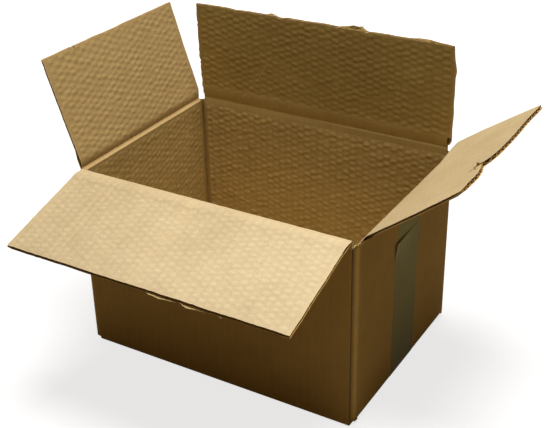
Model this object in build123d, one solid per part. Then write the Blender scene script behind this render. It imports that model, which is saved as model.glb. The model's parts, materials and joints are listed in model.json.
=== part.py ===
from build123d import *
from math import asin, atan2, cos, hypot, radians, sin, tan
import os

# Open, used corrugated carton of the regular slotted kind, all sizes in millimetres.
# X runs left to right along the long side, Y front to back, Z up.
# The origin is the centre of the underside, where the bottom tape meets the floor.

# Outside sizes of the erected box
box_length = 290.0
box_width = 208.0
box_height = 190.0

# Corrugated board: two facings with a fluted medium between them
board = 3.6
facing = 0.4
medium_drop = 0.35
medium_web = 0.55
flute_pitch = 7.5
flute_crown = 1.2

# Folds and slots
corner_radius = 4.0
fold_radius = 2.5
slot_inset = 6.2
leaf_gap = 0.3
crease_gap = 0.45
axis_offset = 0.2

# Creases are crushed from the inside: a short lip on the wall, a long easy slope on the flap
crease_board = 1.4
lip_drop = 3.0
slope_middle = (4.2, 2.7)
slope_reach = 8.0
flute_stop = 0.8
seam_margin = 6.0

# Glued side seam, inside the front right corner
tab_length = 30.0
tab_taper = 8.0

# Flaps, from the crease to the free edge
front_flap_depth = 106.0
back_flap_depth = 102.0
left_flap_depth = 106.0
right_flap_depth = 105.0
bottom_minor_depth = 104.0
bottom_seam = 1.2

# How far each top flap stands open: 0 is level and outward, 90 is upright, 180 is closed
front_flap_angle = -17.4
back_flap_angle = 91.2
left_flap_angle = 71.8
right_flap_angle = 35.9

# Tape
tape = 0.06
tape_width = 50.0
tape_left_leg = 60.0
tape_right_leg = 149.0
tail_width = 48.0
tail_shift = 4.0
tail_end = 126.0
tail_margin = 1.0

# Tears and a crushed corner in the flaps
notch_place = -56.0
notch_width = 3.0
notch_depth = 4.5
crush_along_edge = 15.0
crush_along_side = 10.0
crush_height = 2.4

# Worked out from the sizes above
half_length = box_length / 2
half_width = box_width / 2
underside = tape
minor_underside = underside + board + leaf_gap
major_crease = underside + box_height
minor_crease = major_crease - board - leaf_gap
wall_top = minor_crease - crease_gap
slot_x = half_length - slot_inset
slot_y = half_width - slot_inset
seam_x = half_length - corner_radius
seam_slot_y = half_width - board - slot_inset

# From slot to slot, along X for the front (-1) and back (+1) and along Y for the left (-1) and right (+1)
major_ends = {-1: (-slot_x, seam_x), 1: (-slot_x, slot_x)}
minor_ends = {-1: (-slot_y, slot_y), 1: (-seam_slot_y, slot_y)}


def solid_between(profile, plane, low, high):
    # A closed outline in the given plane, drawn out from low to high along its normal.
    face = make_face(plane.offset(low) * Polyline(*profile, close=True))
    return extrude(face, high - low, dir=plane.z_dir)


def turned_round(ends):
    # The same stretch, measured along an axis that points the other way.
    return -ends[1], -ends[0]


def walls():
    # One strip of board folded around four corners, with its glue tab behind the front panel.
    mid = board / 2
    bend = corner_radius - mid
    fold_start = -half_width + board + corner_radius
    ring = FilletPolyline(
        (seam_x, -half_width + mid),
        (-half_length + mid, -half_width + mid),
        (-half_length + mid, half_width - mid),
        (half_length - mid, half_width - mid),
        (half_length - mid, fold_start),
        radius=bend,
    )
    bend_into_tab = JernArc((half_length - mid, fold_start), (0, -1), bend, -90)
    seam = bend_into_tab + Line(bend_into_tab @ 1, (seam_x - tab_length, -half_width + board + mid))
    rise = wall_top - minor_underside
    strips = [extrude(Pos(Z=minor_underside) * trace(path, board), rise) for path in (ring, seam)]
    tab_tip = seam_x - tab_length
    taper = [(seam_x, 0), (tab_tip, 0), (tab_tip, tab_taper)]
    tab_range = (half_width - 2 * board, half_width - board)
    top = [(x, wall_top - drop) for x, drop in taper]
    bottom = [(x, minor_underside + lift) for x, lift in taper]
    folded = strips[1]
    for corner in (top, bottom):
        folded -= solid_between(corner, Plane.XZ, *tab_range)
    return strips[0] + folded


def spandrel(radius):
    # What a fold takes off a square corner at the origin, outside its quarter circle.
    return Pos(radius / 2, radius / 2) * Rectangle(radius, radius) - Pos(radius, radius) * Circle(radius)


def rounded_fold(plane, low, high):
    # The spandrel's solid, with the corner's edge at the plane's origin.
    return extrude(plane.offset(low) * spandrel(fold_radius), high - low, dir=plane.z_dir)


def crease_cut(plane, ends, side, reach, crease):
    # What a wall loses on its inside below a top crease, from one slot to the next.
    outer = side * reach
    inner = side * (reach - board)
    clear = side * (reach - board - facing)
    profile = [
        (clear, crease - lip_drop),
        (inner, crease - lip_drop),
        (side * (reach - crease_board), crease - crease_gap - crease_board),
        (outer, crease - crease_gap),
        (outer, crease),
        (clear, crease),
    ]
    return solid_between(profile, plane, *ends)


def major_leaf(side):
    # Upper rim, lower fold and bottom flap of the front (-1) or back (+1) wall.
    outer = side * half_width
    inner = side * (half_width - board)
    ends = major_ends[side]
    rim = [
        (outer, wall_top),
        (outer, major_crease - crease_gap),
        (inner, major_crease - crease_gap),
        (inner, wall_top),
    ]
    leaf = [
        (outer, minor_underside),
        (outer, underside),
        (side * bottom_seam / 2, underside),
        (side * bottom_seam / 2, underside + board),
        (inner, underside + board),
        (inner, minor_underside),
    ]
    corner = Plane((0, outer, underside), x_dir=(0, -side, 0), z_dir=(-side, 0, 0))
    solid = solid_between(rim, Plane.YZ, *ends) + solid_between(leaf, Plane.YZ, *ends)
    return solid - rounded_fold(corner, *(ends if side < 0 else turned_round(ends)))


def minor_leaf(side):
    # Bottom flap of the left (-1) or right (+1) wall, one board above the major ones.
    inner = side * (half_length - board)
    tip = side * (half_length - bottom_minor_depth)
    leaf = [
        (inner, minor_underside),
        (tip, minor_underside),
        (tip, minor_underside + board),
        (inner, minor_underside + board),
    ]
    solid = solid_between(leaf, Plane.XZ, *turned_round(minor_ends[side]))
    drawn_flat = Plane((side * half_length, 0, minor_underside), x_dir=(0, side, 0), z_dir=(0, 0, 1))
    ends = minor_ends[side] if side > 0 else turned_round(minor_ends[side])
    channels = flute_openings(*ends, board + seam_margin, bottom_minor_depth, 0)
    return solid - [drawn_flat * channel for channel in channels]


def minor_fold(side):
    # What the fold between the left or right wall and its bottom flap takes off the corner.
    corner = Plane((side * half_length, 0, minor_underside), x_dir=(-side, 0, 0), z_dir=(0, side, 0))
    ends = minor_ends[side] if side > 0 else turned_round(minor_ends[side])
    return rounded_fold(corner, *ends)


def seam_openings():
    # The flutes that lie open along the front panel's cut edge and along the glue tab's end.
    low = minor_underside + seam_margin
    high = wall_top - seam_margin
    roof = board - facing - medium_drop
    wide, narrow = channel_widths(flute_pitch)
    panel = (seam_x, -half_width, -1, 0)
    tab = (seam_x - tab_length, -half_width + board, 1, tab_taper)
    channels = []
    for edge, front, inward, trim in (panel, tab):
        outline = Polyline(
            (edge, front + facing),
            (edge + inward * wide, front + facing),
            (edge + inward * narrow, front + roof),
            (edge, front + roof),
            close=True,
        )
        channels.append(extrude(make_face(Pos(Z=low + trim) * outline), high - low - 2 * trim))
    return channels


def box_body():
    body = walls()
    for side in (-1, 1):
        body += major_leaf(side)
        body += minor_leaf(side)
    for side in (-1, 1):
        body -= crease_cut(Plane.YZ, major_ends[side], side, half_width, major_crease)
        body -= crease_cut(Plane.XZ, turned_round(minor_ends[side]), side, half_length, minor_crease)
        body -= minor_fold(side)
    return body - seam_openings()


def channel_widths(pitch):
    # Half the width of a channel at the facing that it lies on, and half its width at the top.
    height = board - 2 * facing
    slope = (pitch / 2 - flute_crown) / height
    wide = flute_crown / 2 + slope * height - medium_web / 2
    return wide, wide - slope * (height - medium_drop)


def flute_openings(low, high, blind, depth, outer):
    # Channels on both sides of the wavy medium, open at the free edge and at the two side edges.
    waves = round((high - low) / flute_pitch)
    pitch = (high - low) / waves
    floor = outer + facing
    roof = outer + board - facing
    rise = roof - floor - medium_drop
    wide, narrow = channel_widths(pitch)
    channels = []
    for step in range(2 * waves + 1):
        middle = low + step * pitch / 2
        start, way = (floor, 1) if step % 2 == 0 else (roof, -1)
        outline = Polyline(
            (middle - wide, start),
            (middle + wide, start),
            (middle + narrow, start + way * rise),
            (middle - narrow, start + way * rise),
            close=True,
        )
        channels.append(make_face(outline))
    section = Plane((0, blind, 0), x_dir=(1, 0, 0), z_dir=(0, -1, 0))
    return [extrude(section * channel, blind - depth) for channel in channels]


def flap(ends, depth, holes=()):
    # Drawn flat: X along the crease, Y away from it, Z from the outer facing to the inner one.
    # The hinge axis is the X axis. The crushed base slopes, so that it clears the wall's lip when shut.
    outer = axis_offset
    inner = axis_offset + board
    side_view = [
        (crease_gap, outer),
        (crease_gap + crease_board, outer + crease_board),
        (slope_middle[0], outer + slope_middle[1]),
        (slope_reach, inner),
        (depth, inner),
        (depth, outer),
    ]
    sheet = solid_between(side_view, Plane.YZ, *ends)
    sheet -= flute_openings(*ends, slope_reach + flute_stop, depth, outer)
    for outline, bottom, top in holes:
        sheet -= solid_between(outline, Plane.XY, bottom, top)
    return sheet


def hinge_plane(outward, reach, level, angle):
    # The plane that stands a flat flap up at its crease, at the given angle from level.
    lift = radians(angle)
    origin = Vector(outward[0] * reach, outward[1] * reach, level)
    along = Vector(*outward).cross(Vector(0, 0, 1))
    normal = Vector(-sin(lift) * outward[0], -sin(lift) * outward[1], cos(lift))
    return Plane(origin, x_dir=along, z_dir=normal)


def liner_tear():
    # The inner facing is torn along a flute from the free edge, with a branch across the flutes.
    edge = right_flap_depth + 1
    outline = [
        (27.5, edge - 25),
        (24.0, edge - 22),
        (21.5, edge - 18.5),
        (14.0, edge - 21.5),
        (5.5, edge - 26.5),
        (12.0, edge - 19.5),
        (18.5, edge - 15.5),
        (17.5, edge - 10),
        (19.5, edge),
        (25.0, edge),
        (23.5, edge - 9),
        (25.0, edge - 14.5),
        (26.0, edge - 19),
    ]
    inner = axis_offset + board
    return outline, inner - facing - medium_drop, inner + facing


def edge_notch():
    # A short tear in the left flap's free edge.
    edge = left_flap_depth
    outline = [
        (notch_place - notch_width / 2, edge + 1),
        (notch_place - notch_width / 4, edge - notch_depth),
        (notch_place + notch_width / 2, edge + 1),
    ]
    return outline, 0, axis_offset + board + 1


def crushed_corner(high, depth):
    # Everything below a slanting plane at a flap's corner, where the outer facing is pushed up.
    along_edge = Vector(high - crush_along_edge, depth, axis_offset)
    along_side = Vector(high, depth - crush_along_side, axis_offset)
    lifted = Vector(high, depth, axis_offset + crush_height)
    down = (along_side - along_edge).cross(lifted - along_edge)
    if down.Z > 0:
        down = -down
    reach = 4 * max(crush_along_edge, crush_along_side)
    below = (Align.CENTER, Align.CENTER, Align.MIN)
    return Plane(along_edge, z_dir=down) * Box(reach, reach, board, align=below)


def top_flaps():
    reach_x = half_length + axis_offset
    reach_y = half_width + axis_offset
    front = hinge_plane((0, -1, 0), reach_y, major_crease, front_flap_angle)
    back = hinge_plane((0, 1, 0), reach_y, major_crease, back_flap_angle)
    left = hinge_plane((-1, 0, 0), reach_x, minor_crease, left_flap_angle)
    right = hinge_plane((1, 0, 0), reach_x, minor_crease, right_flap_angle)
    torn = flap(turned_round(minor_ends[1]), right_flap_depth, [liner_tear()])
    torn -= crushed_corner(seam_slot_y, right_flap_depth)
    return {
        "front_flap": front * flap(turned_round(major_ends[-1]), front_flap_depth),
        "back_flap": back * flap(major_ends[1], back_flap_depth),
        "left_flap": left * flap(minor_ends[-1], left_flap_depth, [edge_notch()]),
        "right_flap": right * torn,
    }


def taut_bend(leaf_end):
    # Where tape pulled from a bottom flap's end over the wall's fold meets the wall's face.
    from_end_x = half_length - fold_radius - leaf_end
    from_end_z = minor_underside + fold_radius - underside
    reach = hypot(from_end_x, from_end_z)
    climb = atan2(from_end_z, from_end_x) - asin(fold_radius / reach)
    return underside + (half_length - leaf_end) * tan(climb)


def strip_of_tape(points, middle, width):
    # Tape on the outside of a line in the XZ plane, drawn from the left end to the right end.
    line = Plane.XZ * Polyline(*points)
    section = offset(line, tape, side=Side.LEFT, kind=Kind.INTERSECTION, closed=True)
    strip = extrude(make_face(section.edges()), width / 2, both=True)
    return Pos(Y=middle) * strip


def bottom_tape():
    left_end = slot_x
    right_end = seam_x
    route = [
        (-half_length, tape_left_leg),
        (-half_length, taut_bend(left_end)),
        (-left_end, underside),
        (right_end, underside),
        (half_length, taut_bend(right_end)),
        (half_length, tail_end - tail_margin),
        (half_length + tape, tail_end),
        (half_length + tape, tape_right_leg),
    ]
    return strip_of_tape(route, 0, tape_width)


def top_tape_tail():
    high = minor_crease - tail_margin
    outline = [
        (half_length, tail_end),
        (half_length + tape, tail_end),
        (half_length + tape, high),
        (half_length, high),
    ]
    return solid_between(outline, Plane.XZ, -tail_shift - tail_width / 2, tail_width / 2 - tail_shift)


def main():
    os.makedirs("parts", exist_ok=True)
    nodes = {"box_body": box_body(), **top_flaps()}
    nodes["bottom_tape"] = bottom_tape()
    nodes["top_tape_tail"] = top_tape_tail()
    for name, shape in nodes.items():
        export_step(shape, f"parts/{name}.step")


main()
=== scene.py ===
import json
import math

import bmesh
import bpy
import numpy as np
from mathutils import Matrix, Vector


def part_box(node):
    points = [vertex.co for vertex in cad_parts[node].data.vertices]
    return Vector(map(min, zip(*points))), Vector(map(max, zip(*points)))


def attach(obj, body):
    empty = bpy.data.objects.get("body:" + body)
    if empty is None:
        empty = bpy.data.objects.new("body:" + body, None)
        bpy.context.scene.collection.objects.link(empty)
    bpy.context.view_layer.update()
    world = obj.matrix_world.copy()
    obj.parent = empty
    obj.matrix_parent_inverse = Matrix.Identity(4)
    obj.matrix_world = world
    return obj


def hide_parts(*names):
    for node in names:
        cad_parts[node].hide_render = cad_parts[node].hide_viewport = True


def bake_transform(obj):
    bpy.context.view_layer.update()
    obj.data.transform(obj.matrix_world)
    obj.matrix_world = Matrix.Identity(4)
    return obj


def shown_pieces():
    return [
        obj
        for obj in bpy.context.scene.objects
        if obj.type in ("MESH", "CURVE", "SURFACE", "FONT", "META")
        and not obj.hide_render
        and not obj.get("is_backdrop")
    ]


# Used corrugated carton with its four top flaps open: walls, flaps, creases and tape as folded paper.
# A flat sheet's own coordinates are x across the flutes, y along them, z from the outer facing inwards.

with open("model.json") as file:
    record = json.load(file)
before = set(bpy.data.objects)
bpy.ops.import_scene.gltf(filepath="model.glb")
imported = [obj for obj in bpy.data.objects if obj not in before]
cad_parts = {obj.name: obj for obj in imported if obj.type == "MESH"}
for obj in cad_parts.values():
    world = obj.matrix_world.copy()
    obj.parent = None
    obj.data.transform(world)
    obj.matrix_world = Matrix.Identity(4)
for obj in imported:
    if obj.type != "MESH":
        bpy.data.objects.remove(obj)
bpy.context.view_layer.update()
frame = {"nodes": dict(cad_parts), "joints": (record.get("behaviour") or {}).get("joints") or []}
mm = 0.001
print("frame loaded")

board = {
    "thickness": 3.6 * mm,
    "facing": 0.42 * mm,
    "flutePaper": 0.3 * mm,
    "flutePitch": 7.5 * mm,
    "creaseThickness": 1.4 * mm,  # what is left of the board at a crushed crease
    "creaseGap": 0.45 * mm,
}


# Sockets and node trees, for the materials and for the geometry trees

class Wire:
    def __init__(self, tree, node=None, output=0):
        self.tree = tree
        self.node = node
        self.output = output

    def socket(self):
        return self.node.outputs[self.output]

    def out(self, name):
        return Wire(self.tree, self.node, name)

    def make(self, kind, settings=None, inputs=None, output=0):
        node = self.tree.nodes.new(kind)
        for key, value in (settings or {}).items():
            setattr(node, key, value)
        for key, value in (inputs or {}).items():
            for one in value if isinstance(value, list) else [value]:
                if isinstance(one, Wire):
                    self.tree.links.new(one.socket(), node.inputs[key])
                else:
                    node.inputs[key].default_value = one
        return Wire(self.tree, node, output)

    def math(self, operation, *values):
        return self.make("ShaderNodeMath", {"operation": operation}, dict(enumerate(values)))

    def clamped(self, low=0.0, high=1.0):
        return self.make("ShaderNodeClamp", None, {"Value": self, "Min": low, "Max": high})

    def waved(self, length):
        # A cosine that comes round once in this length
        turn = self * (math.tau / length)
        return turn.math("COSINE", turn)


def operatorFor(operation, reflected):
    def run(self, other):
        values = (other, self) if reflected else (self, other)
        return self.math(operation, *values)

    return run


# Python's own signs add Math nodes, also where a plain number stands first
signs = {"add": "ADD", "sub": "SUBTRACT", "mul": "MULTIPLY", "truediv": "DIVIDE", "pow": "POWER"}
for sign, operation in signs.items():
    setattr(Wire, "__" + sign + "__", operatorFor(operation, False))
    setattr(Wire, "__r" + sign + "__", operatorFor(operation, True))


def unpack(vector):
    parts = vector.make("ShaderNodeSeparateXYZ", None, {0: vector})
    return parts.out("X"), parts.out("Y"), parts.out("Z")


def pack(x, y, z):
    first = next(v for v in (x, y, z) if isinstance(v, Wire))
    return first.make("ShaderNodeCombineXYZ", None, {"X": x, "Y": y, "Z": z})


def tinted(factor, low, high):
    # Between two colours, or two wires that carry colours
    low = low if isinstance(low, Wire) else (*low, 1)
    high = high if isinstance(high, Wire) else (*high, 1)
    return factor.make("ShaderNodeMix", {"data_type": "RGBA"}, {0: factor, 6: low, 7: high}, 2)


def emptied(owner):
    # Clears a material or world of its default nodes, and gives a wire to build on
    owner.use_nodes = True
    owner.node_tree.nodes.clear()
    return Wire(owner.node_tree)


def linked(name, data):
    thing = bpy.data.objects.new(name, data)
    bpy.context.scene.collection.objects.link(thing)
    return thing


# Camera, light and floor

camera = {
    "place": (0.47171, -0.77486, 0.62193),
    "looksAlong": (-0.45118, 0.75407, -0.47730),
    "roll": 1.155,  # degrees
    "lens": 69.75,  # in mm, as the sensor's width is
    "sensor": 36,
    "shift": (-0.0022, 0.0017),
    "nearest": 0.05,
}

light = {
    "lampPlace": (0.09, 0.0, 1.75),
    "lampAim": (0, 0, 0.15),
    "lampSize": 0.85,
    "lampPower": 31.5,
    "fillColour": (1.0, 0.82, 0.56),
    "fillStrength": 0.075,
    "floorSize": 14,
    "floorColour": (0.36, 0.357, 0.35),  # as the camera sees it
    "floorBounce": 0.34,  # as it lights the object
    "floorGlow": 0.77,
    "whiteFrom": 0.40,  # the floor glows more from here, and is plain white at whiteAt
    "whiteAt": 1.0,
}


def addCamera():
    data = bpy.data.cameras.new("camera")
    data.lens, data.sensor_width = camera["lens"], camera["sensor"]
    data.shift_x, data.shift_y = camera["shift"]
    data.clip_start = camera["nearest"]
    ahead = Vector(camera["looksAlong"]).normalized()
    level = ahead.cross(Vector((0, 0, 1))).normalized()
    upright = level.cross(ahead)
    roll = math.radians(camera["roll"])
    right = math.cos(roll) * level - math.sin(roll) * upright
    up = right.cross(ahead)
    turn = Matrix((right, up, -ahead)).transposed().to_4x4()
    eye = linked("camera", data)
    eye.matrix_world = Matrix.Translation(camera["place"]) @ turn
    bpy.context.scene.camera = eye


def seenDirectly(wire):
    # 1 for camera, glossy and transmission rays, 0 for the light that reaches the object
    path = wire.make("ShaderNodeLightPath")
    direct = path.out("Is Camera Ray")
    for kind in ("Is Glossy Ray", "Is Transmission Ray"):
        direct = direct.math("MAXIMUM", direct, path.out(kind))
    return direct


def addLight():
    lamp = bpy.data.lights.new("softbox", "AREA")
    lamp.shape = "DISK"
    lamp.size = light["lampSize"]
    lamp.energy = light["lampPower"]
    box = linked("softbox", lamp)
    place = Vector(light["lampPlace"])
    aim = Vector(light["lampAim"]) - place
    box.matrix_world = Matrix.Translation(place) @ aim.to_track_quat("-Z", "Y").to_matrix().to_4x4()
    world = bpy.data.worlds.new("studio")
    bpy.context.scene.world = world
    start = emptied(world)
    colour = (*light["fillColour"], 1)
    fill = start.make("ShaderNodeBackground", None, {"Color": colour, "Strength": light["fillStrength"]})
    white = start.make("ShaderNodeBackground", None, {"Color": (1, 1, 1, 1), "Strength": 1.0})
    both = start.make("ShaderNodeMixShader", None, {0: seenDirectly(start), 1: fill, 2: white})
    start.make("ShaderNodeOutputWorld", None, {"Surface": both})


def addFloor():
    bpy.ops.mesh.primitive_plane_add(size=light["floorSize"])
    floor = bpy.context.object
    floor.name = "floor"
    material = bpy.data.materials.new("pale_floor")
    start = emptied(material)
    direct = seenDirectly(start)
    colour = tinted(direct, (light["floorBounce"],) * 3, light["floorColour"])
    matt = start.make("ShaderNodeBsdfDiffuse", None, {"Color": colour})
    x, y, z = unpack(start.make("ShaderNodeTexCoord").out("Object"))
    away = (x * x + y * y) ** 0.5
    strength = away.make("ShaderNodeMapRange", {"interpolation_type": "SMOOTHSTEP"}, {
        "Value": away, "From Min": light["whiteFrom"], "From Max": light["whiteAt"],
        "To Min": light["floorGlow"], "To Max": 1.0,
    })
    glow = start.make("ShaderNodeEmission", None, {"Color": (1, 1, 1, 1), "Strength": direct * strength})
    both = start.make("ShaderNodeAddShader", None, {0: matt, 1: glow})
    start.make("ShaderNodeOutputMaterial", None, {"Surface": both})
    floor.data.materials.append(material)
    floor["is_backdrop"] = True


bpy.context.scene.view_settings.view_transform = "Standard"
addCamera()
addLight()
addFloor()
print("camera, light and floor set")


# Paper and tape

paper = {
    # the four flap colours are the one inner liner with light and shade painted in: paler on the front and
    # right flaps as painted light, darker on the left and back flaps as painted shade
    "frontFlapPaintedLightColour": (0.64, 0.495, 0.285),
    "rightFlapPaintedLightColour": (0.55, 0.41, 0.218),
    "leftFlapPaintedLightColour": (0.475, 0.323, 0.128),
    "backFlapPaintedLightColour": (0.412, 0.283, 0.090),
    "insideColour": (0.52, 0.37, 0.141),
    "outerColour": (0.54, 0.295, 0.069),
    "fluteColour": (0.30, 0.175, 0.070),
    # the worn colours serve rubbed paper and also painted highlight on cut edges, pressed ridges and the
    # walls' outer corners
    "wornAndLitColour": (0.84, 0.62, 0.30),
    "rubbedAndLitColour": (0.83, 0.486, 0.136),
    "tornColour": (0.54, 0.42, 0.17),
    "darker": (0.82, 0.80, 0.76),  # the two ends of a paper's shades, as shares of its colour
    "paler": (1.17, 1.19, 1.23),
    "clouds": 0.9,  # how much each of these changes the shade
    "blotches": 0.5,
    "fibres": 1.3,
    "fluteStripes": 0.05,
    "bumpWearAndShade": 0.14,
    "specks": 0.35,
    "speckShade": 0.45,
    "scratches": 0.3,
    "roughness": 0.84,
    "gloss": 0.05,
    "bumpStrength": 0.9,
    "bumpDepth": 0.05 * mm,
}


def sheetValue(start, name, output="Fac"):
    return start.make("ShaderNodeAttribute", {"attribute_name": name}, None, output)


def sheetNoise(sheet, scale, stretch=(1, 1, 1), detail=2.0, roughness=0.5):
    # Noise on the flat sheet, with its grain longer one way where stretch is uneven
    sized = sheet.make("ShaderNodeVectorMath", {"operation": "MULTIPLY"}, {0: sheet, 1: stretch})
    inputs = {"Vector": sized, "Scale": scale, "Detail": detail, "Roughness": roughness}
    return sheet.make("ShaderNodeTexNoise", None, inputs).out("Fac")


def nearLine(sheet, start, end, width):
    # 1 on a straight scratch across the sheet, falling to 0 at its width
    x, y, z = unpack(sheet)
    run = (end[0] - start[0], end[1] - start[1])
    length = math.hypot(*run)
    ahead = (run[0] / length, run[1] / length)
    along = (x - start[0]) * ahead[0] + (y - start[1]) * ahead[1]
    held = along.clamped(0.0, length)
    missX = x - start[0] - held * ahead[0]
    missY = y - start[1] - held * ahead[1]
    miss = (missX * missX + missY * missY) ** 0.5
    return (1 - miss / width).clamped()


def finishShader(start, base, rough, height, look):
    bump = start.make("ShaderNodeBump", None, {
        "Strength": look["bumpStrength"], "Distance": look["bumpDepth"], "Height": height,
    })
    shader = start.make("ShaderNodeBsdfPrincipled", None, {
        "Base Color": base, "Roughness": rough, "Specular IOR Level": look["gloss"], "Normal": bump,
    })
    start.make("ShaderNodeOutputMaterial", None, {"Surface": shader})


def kraft(name, colour, scratches=(), darkening=(0.0, 0.0), wornAndLit=None):
    # Paper with clouds, fibres, wear and scratches, where its worn colour is partly painted highlight along
    # cut edges, pressed ridges and outer corners; its darkening across the sheet is given as a place on the
    # sheet and a slope on from there
    material = bpy.data.materials.new(name)
    start = emptied(material)
    sheet = sheetValue(start, "sheet", "Vector")
    wear, relief = sheetValue(start, "wear"), sheetValue(start, "relief")
    x, y, z = unpack(sheet)
    cloud = sheetNoise(sheet, 16, detail=3.0)
    blotch = sheetNoise(sheet, 95, (1, 0.6, 1), 4.0, 0.6)
    fibre = sheetNoise(sheet, 800, (0.5, 1.0, 1), 3.0, 0.75)
    fleck = sheetNoise(sheet, 760, (0.6, 1.0, 1), 1.0)
    stripe = x.waved(board["flutePitch"])
    tone = 0.5 + (cloud - 0.5) * paper["clouds"] + (blotch - 0.5) * paper["blotches"]
    tone = tone + (fibre - 0.5) * paper["fibres"] + stripe * paper["fluteStripes"]
    # bump tops are lighter as wear, and the hollows between bumps darker as painted shade
    tone = tone + (relief - 0.3) * paper["bumpWearAndShade"] - (x - darkening[0]) * darkening[1]
    dark, pale = (tuple(c * f for c, f in zip(colour, paper[end])) for end in ("darker", "paler"))
    base = tinted(tone.clamped(), dark, pale)
    specks = fleck.make("ShaderNodeMapRange", None, {"Value": fleck, "From Min": 0.72, "From Max": 0.80})
    base = tinted(specks * paper["specks"], base, tuple(c * paper["speckShade"] for c in colour))
    # the worn colour where the paper is rubbed, and where a highlight is painted on edges, ridges and
    # corners
    wornAndLitShare = wear * (0.35 + blotch)
    wornAndLit = wornAndLit or tuple(0.5 * c + 0.5 * w for c, w in zip(colour, paper["wornAndLitColour"]))
    base = tinted(wornAndLitShare.clamped(), base, wornAndLit)
    height = fibre * 0.6 + blotch * 0.8 + stripe * 0.12
    for first, last, width, depth in scratches:
        mark = nearLine(sheet, first, last, width)
        base = tinted(mark * paper["scratches"], base, paper["wornAndLitColour"])
        height = height - mark * depth
    finishShader(start, base, paper["roughness"] + (fibre - 0.5) * 0.16, height, paper)
    return material


outerPaper = kraft("outer_kraft", paper["outerColour"], wornAndLit=paper["rubbedAndLitColour"])
flutePaper = kraft("flute_kraft", paper["fluteColour"])
insidePaper = kraft("inside_kraft", paper["insideColour"])
tornPaper = kraft("torn_kraft", paper["tornColour"])
print("papers mixed")


# Geometry trees: the bumps pressed into the inner facing, and the wavy medium

def newTree(name, sockets):
    tree = bpy.data.node_groups.new(name, "GeometryNodeTree")
    tree.interface.new_socket("Geometry", in_out="OUTPUT", socket_type="NodeSocketGeometry")
    tree.interface.new_socket("Geometry", in_out="INPUT", socket_type="NodeSocketGeometry")
    names = {}
    for label, kind in sockets.items():
        item = tree.interface.new_socket(label, in_out="INPUT", socket_type="NodeSocket" + kind)
        names[label] = item.identifier
    start = Wire(tree).make("NodeGroupInput")
    return tree, names, start


def closeTree(start, geometry, material):
    real = start.make("GeometryNodeRealizeInstances", None, {0: geometry})
    dressed = start.make("GeometryNodeSetMaterial", None, {"Geometry": real, "Material": material})
    start.make("NodeGroupOutput", None, {0: dressed})


def bumpTree():
    # Staggered bumps in columns, one column to each flute, each a little out of place along it
    tree, names, start = newTree("pressedBumps", {
        "Column pitch": "Float", "Row pitch": "Float", "First column": "Float", "Stagger": "Float",
        "Bump length": "Float", "Bump height": "Float", "Least height": "Float", "Height range": "Float",
        "Jitter": "Float", "Line height": "Float", "Seed": "Int", "Material": "Material",
    })
    place = start.make("GeometryNodeInputPosition")
    x, y, z = unpack(place)
    press = start.make("GeometryNodeInputNamedAttribute", {"data_type": "FLOAT"}, {"Name": "press"})
    columns = (x - start.out("First column")) / start.out("Column pitch")
    column = columns.math("FLOOR", columns + 0.5)
    stagger = column.math("FLOORED_MODULO", column, 2.0) * start.out("Stagger")
    rows = y / start.out("Row pitch") + stagger
    row = rows.math("FLOOR", rows + 0.5)
    spot = pack(column, row, start.out("Seed"))
    chance = start.make("ShaderNodeTexWhiteNoise", {"noise_dimensions": "3D"}, {"Vector": spot})
    tilt, slip, share = unpack(chance.out("Color"))
    side = (columns - column) * 2.0
    slide = slip - 0.5 + (tilt - 0.5) * side * 0.6
    missY = (rows - row) * start.out("Row pitch") - slide * start.out("Jitter")
    partY = missY / (start.out("Bump length") * 0.5)
    dome = 1 - partY * partY
    dome = dome.math("MAXIMUM", dome, 0.0)
    dome = dome * dome * (3 - dome * 2) * (1 - side**4)
    share = start.out("Least height") + share * start.out("Height range")
    height = dome * start.out("Bump height") * share
    line = columns.waved(1) * start.out("Line height")
    rise = (height + line) * press
    moved = start.make("GeometryNodeSetPosition", None, {
        "Geometry": start.out("Geometry"), "Offset": pack(0.0, 0.0, rise),
    })
    moved = start.make("GeometryNodeStoreNamedAttribute", {"data_type": "FLOAT", "domain": "POINT"}, {
        "Geometry": moved, "Name": "relief", "Value": rise / (0.35 * mm),
    })
    closeTree(start, moved, start.out("Material"))
    return tree, names


def waveTree():
    # A sheet bent into flutes along its length, with a paper's thickness
    tree, names, start = newTree("flutedMedium", {
        "Width": "Float", "Depth": "Float", "Flutes": "Int", "Steps per flute": "Int", "Rows": "Int",
        "Swing": "Float", "Paper": "Float", "Unevenness": "Float", "Seed": "Int", "Material": "Material",
    })
    width, flutes = start.out("Width"), start.out("Flutes")
    grid = start.make("GeometryNodeMeshGrid", None, {
        "Size X": width, "Size Y": start.out("Depth"),
        "Vertices X": flutes * start.out("Steps per flute") + 1, "Vertices Y": start.out("Rows"),
    })
    x, y, z = unpack(start.make("GeometryNodeInputPosition"))
    wave = ((x / width + 0.5) * flutes).waved(1)
    drift = start.make(
        "ShaderNodeTexNoise", {"noise_dimensions": "4D"},
        {"Vector": pack(x, y, 0.0), "W": start.out("Seed"), "Scale": 160.0, "Detail": 1.0},
    )
    lift = wave * start.out("Swing") * (1 - drift * start.out("Unevenness"))
    slip = (drift - 0.5) * start.out("Unevenness") * 2.0 * mm
    moved = start.make("GeometryNodeSetPosition", None, {"Geometry": grid, "Offset": pack(slip, 0.0, lift)})
    raised = start.make(
        "GeometryNodeExtrudeMesh", {"mode": "FACES"},
        {"Mesh": moved, "Offset Scale": start.out("Paper"), "Individual": False},
    )
    under = start.make("GeometryNodeFlipFaces", None, {0: moved})
    both = start.make("GeometryNodeJoinGeometry", None, {0: [raised, under]})
    closed = start.make("GeometryNodeMergeByDistance", None, {"Geometry": both, "Distance": 0.001 * mm})
    closeTree(start, closed, start.out("Material"))
    return tree, names


pressedBumps = bumpTree()
flutedMedium = waveTree()


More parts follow.
